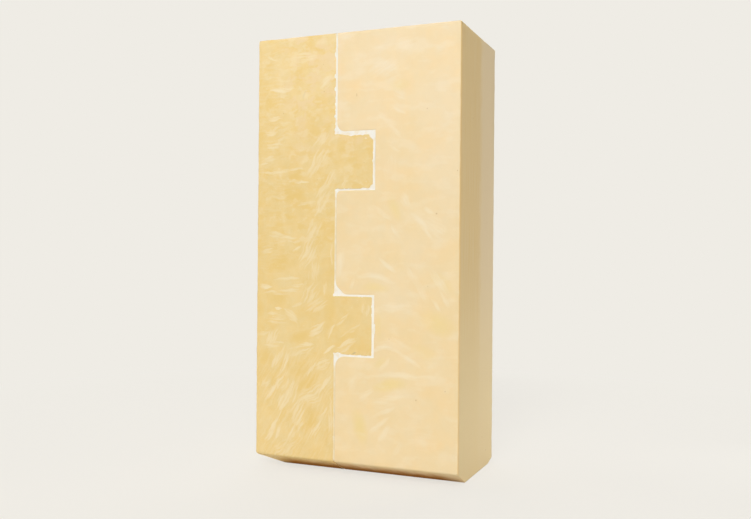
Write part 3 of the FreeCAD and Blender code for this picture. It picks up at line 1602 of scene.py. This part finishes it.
@dataclass(frozen=True)
class YellowFirebrick:
    """The golden brick of the left block, with pale wiped slip on its sawn faces.

    The sizes are those of its noises. A gain multiplies red, green and blue. The top light gain is painted
    light: it grows over the heights, so that the large faces turn lighter and paler towards the top.
    """

    pores: Sequence[Hollow]
    name: str = "yellow firebrick"
    deep: Colour = srgb(235, 204, 135)
    gold: Colour = srgb(236, 209, 148)
    pale: Colour = srgb(238, 214, 160)
    slip: Colour = srgb(245, 226, 186)
    # Golden patches and grains, and also the painted shade along the left edge.
    rich_and_rim_shade: Colour = srgb(236, 203, 128)
    pinkish: Colour = srgb(240, 213, 167)
    # The colour of the painted shade in the pores.
    pore: Colour = srgb(212, 174, 108)
    grey: Colour = srgb(188, 168, 132)
    cast_gain: tuple[float, ...] = (1.03, 1.018, 1.0)
    top_light_gain: tuple[float, ...] = (1.085, 1.100, 1.160)
    heights: tuple[float, float] = (140, 236)
    cloud_size: float = 13
    cast_size: float = 6
    mottle_size: float = 3.0
    grain_size: float = 0.75
    sand_size: float = 0.35
    pore_shade_strength: float = 0.55
    roughness: float = 0.78
    sheen: float = 0.25
    relief_strength: float = 0.4
    relief_depth: float = 0.12
    pale_smears: tuple[Smear, ...] = smear_rows(
        (-51.7, 97.2, -10, 4.5, 1.4, 0.7), (-41.5, 94.7, 8, 11, 1.6, 0.45), (-32.0, 98.0, 5, 5, 1.1, 0.4),
        (-24.8, 94.4, 60, 5.5, 5, 0.3), (-16.1, 96.9, 88, 4, 1.2, 0.5), (-32.2, 88.2, 30, 3.5, 1.6, 0.5),
        (-20.4, 87.6, 25, 6, 3, 0.3), (-43.7, 85.4, -8, 2.8, 0.8, 0.8), (-35.9, 82.0, -35, 5, 2.6, 0.6),
        (-44.6, 82.0, -10, 6, 1.6, 0.4), (-44.6, 78.6, 0, 6, 1.6, 0.4), (-19.8, 75.8, 35, 6, 3, 0.6),
        (-47.1, 70.2, 60, 5, 3, 0.4), (-51.4, 72.7, 10, 5, 1.4, 0.3), (-46.5, 66.5, 10, 7, 1.6, 0.35),
        (-26.6, 67.1, 15, 6, 1.4, 0.55), (-32.2, 65.3, 12, 5, 0.9, 0.45), (-29.1, 62.8, 22, 7, 1.2, 0.45),
        (-12.4, 74.6, 60, 5, 1.2, 0.5), (-13.3, 65.3, 30, 4, 1.2, 0.6), (-41.5, 62.2, 62, 5, 1.1, 0.6),
        (-44.0, 59.7, 65, 5, 0.9, 0.5), (-39.6, 55.4, 75, 8, 2.4, 0.55), (-46.5, 57.2, 68, 4, 0.9, 0.4),
        (-42.1, 48.5, 70, 6, 1.9, 0.5), (-47.7, 41.1, 50, 6, 2.2, 0.6), (-51.4, 44.8, 35, 3.5, 2.2, 0.55),
        (-39.0, 45.4, 62, 4, 0.9, 0.5), (-39.6, 37.4, 52, 9, 3, 0.65), (-35.3, 44.2, 60, 4, 1.4, 0.45),
        (-33.4, 39.9, 68, 6, 0.8, 0.45), (-23.5, 54.7, 45, 5, 1.2, 0.6), (-17.3, 57.2, 35, 5, 2.4, 0.45),
        (-16.7, 46.1, 52, 7, 1.9, 0.5), (-23.5, 40.5, 38, 9, 5, 0.45), (-30.3, 34.9, 48, 10, 2.5, 0.4),
        (-45.2, 24.4, 62, 7, 1.6, 0.5), (-48.9, 16.3, 60, 5, 1.1, 0.5), (-43.4, 18.8, 66, 3, 1.2, 0.4),
        (-31.0, 28.7, 65, 5, 2.4, 0.55), (-34.7, 20.0, 64, 7, 1.5, 0.6), (-29.7, 22.5, 75, 4, 1.2, 0.45),
        (-17.3, 29.3, 62, 7, 1.2, 0.6), (-21.0, 22.5, 58, 7, 2.2, 0.5), (-39.6, 11.3, 20, 6, 4, 0.35),
        (-13.6, 13.8, 70, 3, 0.9, 0.4), (-12.4, 30.0, 88, 10, 1.4, 0.45), (-29.2, 218.7, 0, 7, 2.5, 0.35),
        (-47.5, 219.6, -25, 4.5, 0.8, 0.4), (-42.3, 202.1, 8, 7.5, 1.5, 0.7),
        (-16.2, 204.8, 40, 4, 3, 0.4), (-46.6, 187.1, 2, 4.5, 1.5, 0.5), (-49.2, 179.7, 0, 5, 1.1, 0.45),
        (-46.6, 173.2, 3, 5, 1.6, 0.5), (-50.0, 165.8, 8, 4, 2.2, 0.5), (-52.7, 163.7, 0, 2.5, 0.9, 0.6),
        (-42.3, 158.9, 2, 14, 1.1, 0.55), (-32.7, 153.3, -8, 6.5, 0.9, 0.75),
        (-19.7, 174.5, 50, 6, 3, 0.35), (-21.5, 163.2, 55, 9, 3.5, 0.4), (-15.4, 152.0, 52, 9, 2.2, 0.55),
        (-18.0, 141.6, 52, 9, 2.2, 0.55), (-26.6, 141.6, 10, 5, 2, 0.35), (-40.0, 123.8, -10, 9, 2, 0.5),
        (-50.0, 116.4, 0, 4.5, 1.4, 0.45), (-33.6, 117.2, 35, 3.5, 0.8, 0.5),
        (-23.0, 128.0, 60, 7, 3, 0.4), (-26.6, 114.7, 60, 8, 5, 0.45), (-22.3, 106.0, 80, 5, 3, 0.45),
        (-38.8, 101.6, 3, 8, 1.1, 0.55), (-11.9, 114.6, 85, 5, 1.2, 0.5), (7.0, 174.2, 0, 0.8, 0.7, 0.7),
        (7.1, 152.6, 0, 0.8, 0.7, 0.7), (-5.2, 151.3, 60, 3, 0.9, 0.5), (7.9, 86.7, 90, 3, 2, 0.4),
        (-5.6, 80.8, 40, 5, 1.2, 0.45), (-1.4, 74.9, 38, 7, 1.1, 0.4), (-3.9, 68.1, 35, 6, 2.5, 0.5),
    )
    gold_patches: tuple[Smear, ...] = smear_rows(
        (-43.7, 91.0, 0, 7.2, 5.4, 0.5), (-55.0, 85.0, 90, 6, 2.7, 0.5), (-30.3, 70.9, 15, 8.4, 4, 0.7),
        (-51.4, 60.3, 60, 4.8, 4, 0.5), (-45.2, 48.5, 65, 6, 1.6, 0.6), (-30.3, 52.9, 40, 7.2, 3.4, 0.5),
        (-26.0, 46.7, 45, 10.8, 4.3, 0.8), (-23.5, 26.8, 60, 4.8, 3.4, 0.6), (-41.5, 27.5, 60, 6, 2, 0.5),
        (-14.8, 19.4, 70, 7.2, 1.6, 0.4), (-13.6, 87.6, 90, 9.6, 4, 0.5),
        (-45.7, 195.0, 0, 7.2, 3.5, 0.5), (-44.0, 182.3, 0, 4.8, 1.1, 0.5),
        (-51.0, 169.3, 10, 4.8, 2.4, 0.4), (-15.4, 170.0, 60, 6, 4, 0.5),
        (-33.6, 155.4, -10, 3.6, 2.4, 0.5), (-38.0, 146.7, 0, 9.6, 6.1, 0.6),
        (-51.8, 134.6, 5, 6, 4, 0.4), (-44.0, 109.4, 10, 9.6, 4.7, 0.7),
        (-20.6, 121.6, 80, 4.8, 1.6, 0.4), (9.2, 166.5, 90, 7.2, 2, 0.5), (-3.9, 71.5, 35, 8.4, 2, 0.45),
    )
    mauve_patches: tuple[Smear, ...] = smear_rows(
        (-16.7, 215.0, 0, 9, 5, 0.5), (-28.4, 187.5, 80, 3.5, 1.2, 0.5), (2.5, 173.5, 0, 3.5, 2.5, 0.5),
        (-32.0, 168.0, 20, 9, 6, 0.25),
    )
    grey_spots: tuple[Smear, ...] = smear_rows(
        (0.3, 64.1, 0, 1.2, 0.6, 0.55), (-29.0, 199.0, 70, 3, 0.8, 0.15),
    )

    def build(self) -> Material:
        """Makes the material.

        Returns:
            The material.
        """
        coat = Coat(self.name, 2.2, 0.3)
        large = coat.large
        mottle = coat.noise(self.mottle_size, 4.0, 0.6)
        tone = coat.noise(self.cloud_size, 3.0, 0.55) * 0.7 + mottle * 0.25 + 0.025
        coat.ground(tone, (0.33, self.deep), (0.5, self.gold), (0.7, self.pale))
        coat.cast(self.cast_size, self.cast_gain)
        coat.lay(large.patches(self.mauve_patches), self.pinkish)
        coat.lay(large.patches(self.gold_patches) * 1.1, self.rich_and_rim_shade)
        self.add_blotches(coat)
        swept = large.streaks(60, 1.3) * large.z.smooth(72, 60)
        level = large.streaks(2, 1.4) * large.z.smooth(98, 106) * large.x.smooth(-30, -42) * 0.8
        coat.lay((swept.max(level) - 0.35).max(0.0) * large.cover * 0.3, self.slip)
        coat.lay(large.wiped(self.pale_smears, Edge.CRISP, 1.3, 0.65) * 0.9, self.slip)
        coat.lay(large.patches(self.grey_spots), self.grey)
        self.wipe_sides(coat)
        self.add_grog(coat)
        # Painted light: the large faces lighter and paler towards the top, the narrow faces a little all
        # over.
        high = large.z.smooth(*self.heights) * large.cover + (1.0 - large.cover) * 0.35
        coat.tint(high, self.top_light_gain)
        # Painted shade in the pores.
        coat.paint_pore_shade(self.pores, self.pore_shade_strength, self.pore)
        # Painted brown shade on the bevel under the front.
        coat.paint_foot_shade()
        relief = coat.noise(self.sand_size, 3.0, 0.6) * 0.6 + mottle * 0.8
        roughness = self.roughness + (mottle - 0.5) * 0.2
        return coat.finish(roughness, self.sheen, relief, self.relief_strength, self.relief_depth)

    def add_blotches(self, coat: Coat) -> None:
        """Lays pale, golden and pinkish blotches over the upper half of the large faces.

        Args:
            coat: The surface.
        """
        large = coat.large
        high = large.z.smooth(104, 124) * large.cover
        white = coat.graph.noise(large.place, (6.5, 6.5, 4.0), 3.0)
        gold = coat.graph.noise(large.place, (9.0, 9.0, 5.5), 3.0, shift=(70, 0, 0))
        pink = coat.graph.noise(large.place, (9.0, 9.0, 6.0), 3.0, shift=(0, 0, 90))
        coat.lay(gold.smooth(0.48, 0.64) * high * 0.55, self.rich_and_rim_shade)
        blush = pink.smooth(0.46, 0.62) * large.z.smooth(150, 205) * large.x.smooth(-48, -30)
        coat.lay(blush * high * 0.7, self.pinkish)
        coat.lay(white.smooth(0.5, 0.68) * high * 0.35, self.slip)

    def wipe_sides(self, coat: Coat) -> None:
        """Lays upright wiped streaks on the narrow faces, and painted shade as a darker rim along the left
        edge.

        Args:
            coat: The surface.
        """
        drag = coat.noise((0.9, 1.1, 26), 3.0, 0.6).smooth(0.42, 0.66)
        patch = coat.noise((9, 9, 30)).smooth(0.4, 0.62)
        coat.lay(drag * patch * (1.0 - coat.large.cover) * 0.7, self.slip)
        # Painted shade: a darker golden rim along the left edge and over the left face.
        coat.lay(coat.large.x.smooth(-51, -56.5) * 0.3, self.rich_and_rim_shade)

    def add_grog(self, coat: Coat) -> None:
        """Lays the grog over it, pale and brown grains in the brick.

        Args:
            coat: The surface.
        """
        grain = coat.noise(self.grain_size, 2.0, 0.6)
        coat.lay(grain.smooth(0.62, 0.72) * 0.25, self.slip)
        coat.lay(grain.smooth(0.36, 0.26) * 0.25, self.rich_and_rim_shade)


@dataclass(frozen=True)
class BuffFirebrick:
    """The paler, denser brick of the right block.

    The sizes are those of its noises. A gain multiplies red, green and blue. The top light gain is painted
    light: it grows over the heights, so that the large faces turn lighter and paler towards the top.
    """

    pores: Sequence[Hollow]
    name: str = "buff firebrick"
    warm: Colour = srgb(241, 216, 166)
    buff: Colour = srgb(242, 219, 174)
    light: Colour = srgb(242, 221, 180)
    slip: Colour = srgb(247, 231, 200)
    straw: Colour = srgb(241, 217, 156)
    orange: Colour = srgb(245, 215, 161)
    ashen: Colour = srgb(242, 222, 184)
    side_tan: Colour = srgb(243, 213, 153)
    side_pink: Colour = srgb(248, 225, 184)
    # Painted bounce light at the foot of the right face.
    side_foot_bounce_light: Colour = srgb(253, 230, 180)
    side_gold: Colour = srgb(248, 212, 146)
    # The colour of the painted shade in the pores.
    pore: Colour = srgb(200, 162, 104)
    cast_gain: tuple[float, ...] = (1.02, 1.012, 1.0)
    top_light_gain: tuple[float, ...] = (1.060, 1.080, 1.160)
    heights: tuple[float, float] = (128, 230)
    cloud_size: float = 19
    cast_size: float = 5
    mottle_size: float = 4.0
    grain_size: float = 0.7
    sand_size: float = 0.3
    pore_shade_strength: float = 0.555
    roughness: float = 0.74
    sheen: float = 0.25
    relief_strength: float = 0.3
    relief_depth: float = 0.1
    pale_smears: tuple[Smear, ...] = smear_rows(
        (-7.3, 109.5, 84, 8, 2.6, 0.5), (18.9, 109.5, -38, 7, 1.4, 0.6),
        (12.2, 104.0, -5, 12, 1.9, 0.5, 3), (-0.5, 100.2, 70, 3.5, 1.4, 0.4),
        (31.6, 104.5, -62, 5, 1.4, 0.45), (36.7, 97.7, -58, 10, 2.5, 0.35),
        (46.8, 101.0, -55, 8, 2.4, 0.4), (45.1, 90.0, -50, 4, 1.3, 0.5), (49.4, 92.6, -55, 5, 1.3, 0.4),
        (23.1, 88.4, 0, 9, 3, 0.35), (18.9, 68.0, 0, 13, 1.6, 0.55, 8), (31.0, 62.0, -28, 7.5, 1.4, 0.6),
        (27.4, 70.0, -30, 7, 1.4, 0.5), (23.1, 70.6, 0, 6, 2.5, 0.35), (18.0, 58.8, 55, 5, 1.3, 0.4),
        (27.4, 54.1, 0, 20, 1.8, 0.45, 2.2), (38.4, 54.1, 0, 8, 1.4, 0.35), (7.1, 42.7, 38, 6, 1.9, 0.4),
        (0.3, 47.8, 60, 5, 3, 0.25), (19.8, 42.0, 15, 11, 2.4, 0.35, 2), (17.0, 34.5, 28, 9, 1.3, 0.4),
        (15.5, 28.3, 40, 8, 1.4, 0.5), (17.2, 23.2, 50, 6, 1.9, 0.4), (24.8, 16.5, 45, 5, 1.9, 0.25),
        (38.4, 22.4, 0, 8, 6, 0.25), (-4.8, 228.3, 0, 6, 2.4, 0.3), (27.4, 220.7, 0, 5, 4, 0.35),
        (16.4, 209.7, 20, 9, 5, 0.35), (24.8, 195.3, -20, 4, 2.4, 0.35), (24.8, 187.3, -26, 4, 1.3, 0.6),
        (16.4, 184.3, -40, 6, 1.9, 0.4), (22.3, 177.5, -38, 5, 1.4, 0.4),
        (22.3, 168.2, -30, 4, 1.3, 0.35), (19.8, 158.0, 80, 6, 4, 0.3), (28.2, 142.0, -65, 5, 2.6, 0.5),
        (40.9, 136.9, -35, 4, 1.4, 0.55), (36.7, 131.0, -40, 8, 1.9, 0.5),
        (39.2, 126.8, -50, 6, 1.4, 0.45), (15.5, 136.1, -38, 7, 1.6, 0.45),
        (23.1, 126.8, -55, 5, 1.4, 0.35), (43.5, 128.5, -40, 7, 5, 0.3), (10.5, 138.6, 0, 4, 2, 0.3),
    )
    straw_patches: tuple[Smear, ...] = smear_rows(
        (20.6, 48.6, 12, 10.4, 3.6, 0.6), (4.5, 26.6, -75, 10.4, 4.5, 0.6),
        (46.0, 80.8, -20, 11.7, 6.5, 0.5), (48.0, 101.0, -40, 8, 4, 0.3), (13.8, 78.2, 90, 7.8, 2.6, 0.4),
        (12.2, 97.7, 0, 9.1, 3.2, 0.4), (38.4, 66.4, -20, 7.8, 3.9, 0.35),
        (15.5, 59.6, 40, 3.9, 2.6, 0.35), (24.8, 200.4, 0, 6.5, 3.2, 0.45),
        (22.3, 138.6, -70, 7.8, 3.2, 0.4),
    )
    orange_patches: tuple[Smear, ...] = smear_rows(
        (-1.4, 200.4, 0, 9, 9, 0.6), (-7.3, 210.5, 0, 3, 4, 0.45), (45.0, 20.7, 0, 6, 4, 0.35),
    )
    ashen_patches: tuple[Smear, ...] = smear_rows(
        (47.0, 158.0, 90, 62, 16, 0.55), (16.4, 220.7, 25, 14, 3, 0.4), (24.0, 95.0, -10, 17, 12, 0.45),
        (38.0, 113.0, -40, 15, 12, 0.45), (50.2, 183.5, -55, 8, 0.8, 0.3),
    )

    def build(self) -> Material:
        """Makes the material.

        Returns:
            The material.
        """
        coat = Coat(self.name, 1.4, 0.15)
        large = coat.large
        mottle = coat.noise(self.mottle_size, 4.0, 0.55)
        tone = coat.noise(self.cloud_size, 3.0) * 0.55 + mottle * 0.25 + 0.1
        coat.ground(tone, (0.36, self.warm), (0.52, self.buff), (0.68, self.light))
        coat.lay(large.patches(self.ashen_patches), self.ashen)
        coat.lay(large.patches(self.orange_patches), self.orange)
        coat.lay(large.patches(self.straw_patches) * 1.6, self.straw)
        coat.lay(large.wiped(self.pale_smears, Edge.SOFT, 1.3, 0.2) * 1.3, self.slip)
        coat.lay(coat.noise((22, 22, 18), 3.0, shift=(0, 0, 60)).smooth(0.46, 0.66) * 0.4, self.orange)
        haze = coat.graph.noise(large.place, (14, 14, 6), 3.0, shift=(40, 0, 0))
        coat.lay(haze.smooth(0.48, 0.66) * large.cover * 0.3, self.slip)
        coat.cast(self.cast_size, self.cast_gain)
        grain = coat.noise(self.grain_size, 2.0, 0.6)
        coat.lay(grain.smooth(0.62, 0.74) * 0.2, self.slip)
        coat.lay(grain.smooth(0.36, 0.26) * 0.2, self.warm)
        # Painted light: the large faces lighter and paler towards the top.
        coat.tint(large.z.smooth(*self.heights) * large.cover, self.top_light_gain)
        self.paint_side(coat)
        # Painted shade in the pores.
        coat.paint_pore_shade(self.pores, self.pore_shade_strength, self.pore)
        # Painted brown shade on the bevel under the front.
        coat.paint_foot_shade()
        relief = coat.noise(self.sand_size, 2.0, 0.6) * 0.5 + mottle * 0.6
        roughness = self.roughness + (mottle - 0.5) * 0.15
        return coat.finish(roughness, self.sheen, relief, self.relief_strength, self.relief_depth)

    def paint_side(self, coat: Coat) -> None:
        """Paints the right face: tan in front, pinkish behind, finely streaked upright, and with painted
        bounce light that makes it lighter towards its foot.

        Args:
            coat: The surface.
        """
        mix = coat.graph.mix
        x, y, z = coat.graph.split(coat.place)
        outwards = coat.graph.facing()[0]
        on_side = outwards.smooth(0.45, 0.8) * x.smooth(BRICK.right - 1.5, BRICK.right - 0.9)
        border = y + (coat.noise((4, 4, 9), 3.0, 0.6) - 0.5) * 9.0
        skin = mix(border.smooth(0.5, 8.5), self.side_tan, self.side_pink)
        skin = mix(coat.noise((1.0, 0.9, 34), 3.0, 0.6).smooth(0.3, 0.7) * 0.45, skin, self.side_pink)
        # Painted bounce light: the right face lighter towards its foot.
        skin = mix(z.smooth(120, 25) * 0.85, skin, self.side_foot_bounce_light)
        skin = mix(y.smooth(-29.0, -31.5) * 0.6, skin, self.side_gold)
        coat.lay(on_side, skin)


@dataclass(frozen=True)
class RefractoryMortar:
    """The off-white mortar, smoothed with a finger and slightly sandy.

    The sizes are those of its noises.
    """

    name: str = "refractory mortar"
    white: Colour = srgb(249, 245, 236)
    cream: Colour = srgb(246, 234, 208)
    thin: Colour = srgb(241, 221, 178)
    grey: Colour = srgb(218, 212, 194)
    shadow: Colour = srgb(206, 190, 158)
    cloud_size: float = 3.5
    sand_size: float = 0.5
    roughness: float = 0.9
    sheen: float = 0.2
    relief_strength: float = 0.5
    relief_depth: float = 0.2
    # A grey spot, and painted shadow lines along the joint's edges where it meets the blocks.
    grey_spots: tuple[Smear, ...] = smear_rows(
        (0.75, 63.9, 0, 1.3, 0.8, 1.0), (11.6, 163.0, 90, 15, 0.3, 0.4), (-9.8, 122.0, 90, 25, 0.3, 0.5),
        (-9.8, 30.0, 90, 32, 0.3, 0.5), (7.5, 148.2, 0, 1.6, 0.3, 0.5),
    )

    def build(self) -> Material:
        """Makes the material.

        Returns:
            The material.
        """
        coat = Coat(self.name, 0.4, 0.1)
        large = coat.large
        cloud = coat.noise(self.cloud_size, 3.0, 0.6)
        sand = coat.noise(self.sand_size, 3.0, 0.65)
        coat.colour = self.white
        coat.lay(cloud.smooth(0.46, 0.7) * 0.75, self.cream)
        middle = large.z.smooth(99, 103) * large.z.smooth(146, 143)
        straight = large.x.smooth(-7.6, -8.6) * middle.max(large.z.smooth(58, 54))
        straight = straight * (0.5 + large.y.smooth(20, -20) * 0.5)
        faded = 0.7 - middle * 0.25 + cloud.smooth(0.35, 0.6) * 0.3
        coat.lay(straight * faded, self.thin)
        # Painted shadow lines along the joint's edges, and a grey spot.
        coat.lay(large.patches(self.grey_spots), self.shadow)
        coat.lay(sand.smooth(0.4, 0.27) * 0.5, self.grey)
        # Painted brown shade on the bevel under the front.
        coat.paint_foot_shade()
        roughness = self.roughness + (sand - 0.5) * 0.1
        return coat.finish(roughness, self.sheen, sand + cloud, self.relief_strength, self.relief_depth)


# Studio


def outwards(azimuth: float, elevation: float) -> Vector:
    """A direction away from the brick.

    Args:
        azimuth: Its angle in degrees, from the front towards the right.
        elevation: Its angle above the level.

    Returns:
        The direction.
    """
    turn = math.radians(azimuth)
    rise = math.radians(elevation)
    return Vector((math.sin(turn) * math.cos(rise), -math.cos(turn) * math.cos(rise), math.sin(rise)))


def put_in_scene(data: bpy.types.ID) -> Object:
    """Puts a lamp or a camera in the scene.

    Args:
        data: The lamp or the camera.

    Returns:
        Its object.
    """
    obj = bpy.data.objects.new(data.name, data)
    bpy.context.scene.collection.objects.link(obj)
    return obj


@dataclass(frozen=True)
class Lamp:
    """A soft lamp that is far away.

    Args:
        name: Its name.
        azimuth: Where it stands round the brick, in degrees from the front towards the right.
        elevation: Its angle above the level.
        strength: Its strength.
        softness: Its width in degrees.
    """

    name: str
    azimuth: float
    elevation: float
    strength: float
    softness: float

    def build(self) -> None:
        """Hangs the lamp."""
        sun = bpy.data.lights.new(self.name, "SUN")
        sun.energy = self.strength
        sun.angle = math.radians(self.softness)
        obj = put_in_scene(sun)
        back = outwards(self.azimuth, self.elevation)
        obj.rotation_euler = back.to_track_quat("Z", "Y").to_euler()
        obj.location = back * 2


@dataclass(frozen=True)
class LowFill:
    """A small soft lamp low beside the brick, which lifts the foot of the right face.

    Args:
        place: Where it stands, in metres.
        aim: What it points at, in metres.
        size: Its width in metres.
        energy: Its strength in watts.
        spread: The angle of its light in degrees.
    """

    place: tuple[float, ...] = (0.24, 0.10, 0.02)
    aim: tuple[float, ...] = (0.057, 0.005, 0.03)
    size: float = 0.10
    energy: float = 0.02
    spread: float = 100

    def build(self) -> None:
        """Puts up the lamp."""
        lamp = bpy.data.lights.new("Low fill", "AREA")
        lamp.shape = "DISK"
        lamp.size = self.size
        lamp.energy = self.energy
        lamp.spread = math.radians(self.spread)
        obj = put_in_scene(lamp)
        obj.location = self.place
        away = Vector(self.place) - Vector(self.aim)
        obj.rotation_euler = away.to_track_quat("Z", "Y").to_euler()
        obj.visible_camera = False


@dataclass(frozen=True)
class Studio:
    """The plain pale floor, the soft light and the camera.

    Args:
        backdrop: The colour of the floor and of what lies beyond it, as the camera sees them.
        azimuth: The camera's angle round the brick, in degrees from the front towards the right.
        elevation: Its angle above the level.
        roll: Its turn about its own axis.
        distance: Its distance from the middle of the brick.
        offset: How far the middle of the view stands right of and above the middle of the brick.
        sensor: The width of the sensor.
        lens: The focal length.
        clip: The nearest and the farthest that the camera sees, in metres.
        floor_reach: Half the width of the floor in metres.
        floor_fade: Distances from the brick over which the floor turns into the backdrop.
        floor_glow: How much of the floor by the brick glows in the backdrop's colour.
        floor_light: How much of the light the floor gets, as the camera sees it.
        ambient: The strength of the light from all round.
        lamps: The lamps.
    """

    backdrop: Colour = srgb(239, 236, 229)
    azimuth: float = 22.66
    elevation: float = 0.03
    roll: float = 0.48
    distance: float = 468.0
    offset: tuple[float, float] = (-1.05, -2.75)
    sensor: float = 36
    lens: float = 850.8 / 751 * 36
    clip: tuple[float, float] = (0.01, 200)
    floor_reach: float = 40.0
    floor_fade: tuple[float, float] = (160.0, 420.0)
    floor_glow: float = 0.8
    floor_light: float = 0.865
    ambient: float = 0.165
    lamps: tuple[Lamp | LowFill, ...] = (
        Lamp("Key", 14, 35, 2.03, 34),
        Lamp("Back", 200, 50, 0.9, 50),
        Lamp("Left", -82, 32, 0.5, 50),
        LowFill(),
    )

    def build(self) -> None:
        """Makes the camera, the floor, the world and the lamps."""
        self.add_camera()
        self.add_floor()
        self.add_world()
        for lamp in self.lamps:
            lamp.build()
        log.info("studio: floor, world, %d lamps and camera", len(self.lamps))

    def add_camera(self) -> None:
        """Puts the camera where the photograph's perspective says it stood."""
        azimuth = math.radians(self.azimuth)
        roll = math.radians(self.roll)
        back = outwards(self.azimuth, self.elevation)
        level_right = Vector((math.cos(azimuth), math.sin(azimuth), 0))
        level_up = back.cross(level_right)
        right = level_right * math.cos(roll) + level_up * math.sin(roll)
        up = level_up * math.cos(roll) - level_right * math.sin(roll)
        target = Vector((0, 0, BRICK.height / 2)) + right * self.offset[0] + up * self.offset[1]
        camera = bpy.data.cameras.new("camera")
        camera.sensor_width = self.sensor
        camera.lens = self.lens
        camera.clip_start, camera.clip_end = self.clip
        obj = put_in_scene(camera)
        turn = Matrix((right, up, back)).transposed().to_4x4()
        obj.matrix_world = Matrix.Translation((target + back * self.distance) * MM) @ turn
        bpy.context.scene.camera = obj

    def add_floor(self) -> None:
        """Lays a wide floor, which the camera sees in the backdrop's colour with the brick's shadow."""
        deselect_all()
        bpy.ops.mesh.primitive_plane_add(size=self.floor_reach * 2, location=(0, 0, 0))
        floor = bpy.context.active_object
        floor.name = "floor"
        graph = Graph(bpy.data.materials.new("pale floor"))
        away = graph.measure("LENGTH", graph.object_place())
        plain = graph.socket("ShaderNodeBsdfDiffuse", None, {"Color": self.backdrop})
        lit = graph.socket("ShaderNodeBsdfDiffuse", None, {"Color": self.seen(self.floor_light)})
        glow = graph.socket("ShaderNodeEmission", None, {"Color": self.backdrop, "Strength": 1.0})
        far = away.smooth(*self.floor_fade)
        seen = graph.mix_shaders(far.max(self.floor_glow), lit, glow)
        floor.data.materials.append(graph.surface(graph.mix_shaders(graph.looked_at(), plain, seen)))

    def seen(self, light: float) -> Colour:
        """The floor's colour for the camera, so that it matches the backdrop under that much light."""
        return tuple(c / light for c in self.backdrop[:3]) + (1.0,)

    def add_world(self) -> None:
        """Surrounds the brick with soft light, and shows the camera the backdrop's colour."""
        world = bpy.data.worlds.new("studio")
        bpy.context.scene.world = world
        graph = Graph(world)
        white = {"Color": (1, 1, 1, 1), "Strength": self.ambient}
        light = graph.socket("ShaderNodeBackground", None, white)
        seen = graph.socket("ShaderNodeBackground", None, {"Color": self.backdrop, "Strength": 1.0})
        shader = graph.mix_shaders(graph.looked_at(), light, seen)
        graph.node("ShaderNodeOutputWorld", None, {"Surface": shader})


def main() -> None:
    """Builds the brick and the studio, piece by piece."""
    logging.basicConfig(level=logging.INFO, format="%(name)s: %(message)s")
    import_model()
    bpy.context.scene.view_settings.view_transform = "Standard"
    left = TongueBlock()
    right = SocketBlock()
    tongues = left.build(YellowFirebrick(left.pores()).build())
    sockets = right.build(BuffFirebrick(right.pores()).build())
    MortarJoint().build(RefractoryMortar().build(), (tongues, sockets))
    left.finish(tongues)
    right.finish(sockets)
    Studio().build()


if __name__ == "__main__":
    main()
